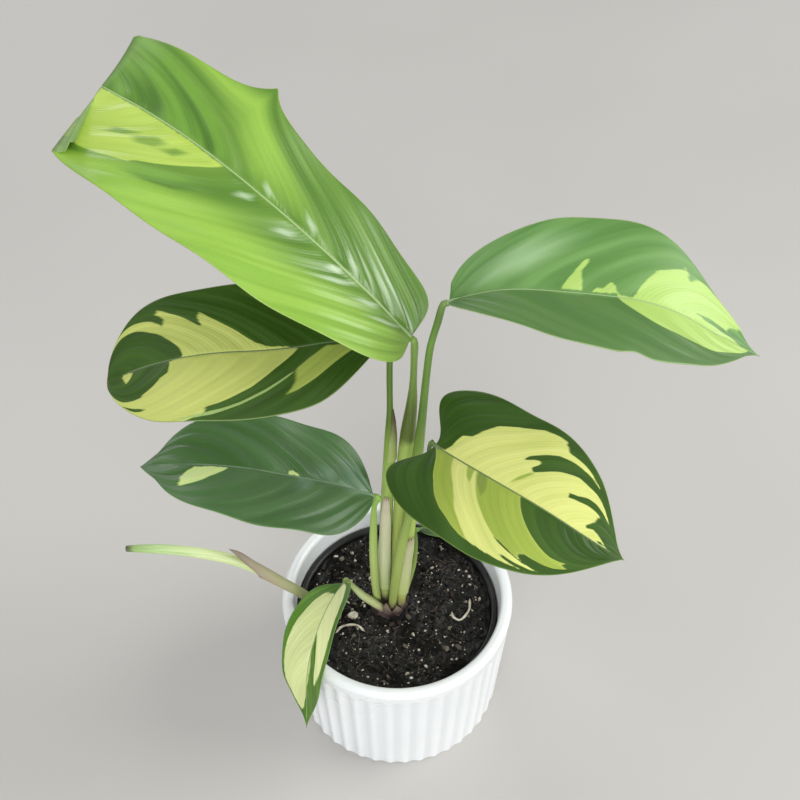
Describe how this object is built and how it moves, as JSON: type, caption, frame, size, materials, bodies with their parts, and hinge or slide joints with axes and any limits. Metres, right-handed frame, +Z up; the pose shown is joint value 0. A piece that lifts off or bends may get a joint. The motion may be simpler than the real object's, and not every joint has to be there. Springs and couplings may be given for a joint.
{
  "type": "potted calathea",
  "caption": "House plant with variegated oval leaves on slim stems, one leaf still rolled, growing in a black grow pot of soil inside a white fluted ceramic pot.",
  "frame": {"origin": "middle of the ceramic pot's flat foot, on the surface that it stands on", "axes": "+Z up; the picture looks along +Y and down, with +X to its right"},
  "size_m": [0.313, 0.2131, 0.3908],
  "materials": {
    "ceramic_white": "satin white glaze",
    "grow_pot_black": "matte black",
    "soil_dark": "damp potting mix with perlite",
    "crown_brown": "matte purple-brown",
    "tall_leaf": "waxy leaf, veined, with cream patches",
    "right_leaf": "waxy leaf, veined, with cream patches",
    "middle_leaf": "waxy leaf, veined, with cream patches",
    "lower_leaf": "waxy leaf, veined, with cream patches",
    "front_leaf": "waxy leaf, veined, with cream patches",
    "rim_leaf": "waxy leaf, veined, with cream patches",
    "small_leaf": "waxy leaf, veined",
    "stem_green": "smooth juicy stem",
    "rolled_leaf": "pale green, satin",
    "membrane": "dry, papery",
    "pale_bits": "chalky"
  },
  "bodies": {
    "root": {"ceramic_pot": "ceramic_white", "grow_pot": "grow_pot_black", "soil": "soil_dark", "crown": "crown_brown", "tall_leaf": "tall_leaf", "right_leaf": "right_leaf", "middle_leaf": "middle_leaf", "lower_leaf": "lower_leaf", "front_leaf": "front_leaf", "rim_leaf": "rim_leaf", "small_leaf": "small_leaf", "tall_stem": "stem_green", "right_stem": "stem_green", "middle_stem": "stem_green", "lower_stem": "stem_green", "front_stem": "stem_green", "rim_stem": "stem_green", "small_stem": "stem_green", "rolled_leaf": "rolled_leaf", "rolled_sheath": "membrane", "dry_sheath_left": "membrane", "dry_sheath_right": "membrane", "dry_tip": "membrane", "perlite_grain": "pale_bits", "root_bit_front": "pale_bits", "root_bit_right": "pale_bits"}
  },
  "joints": []
}
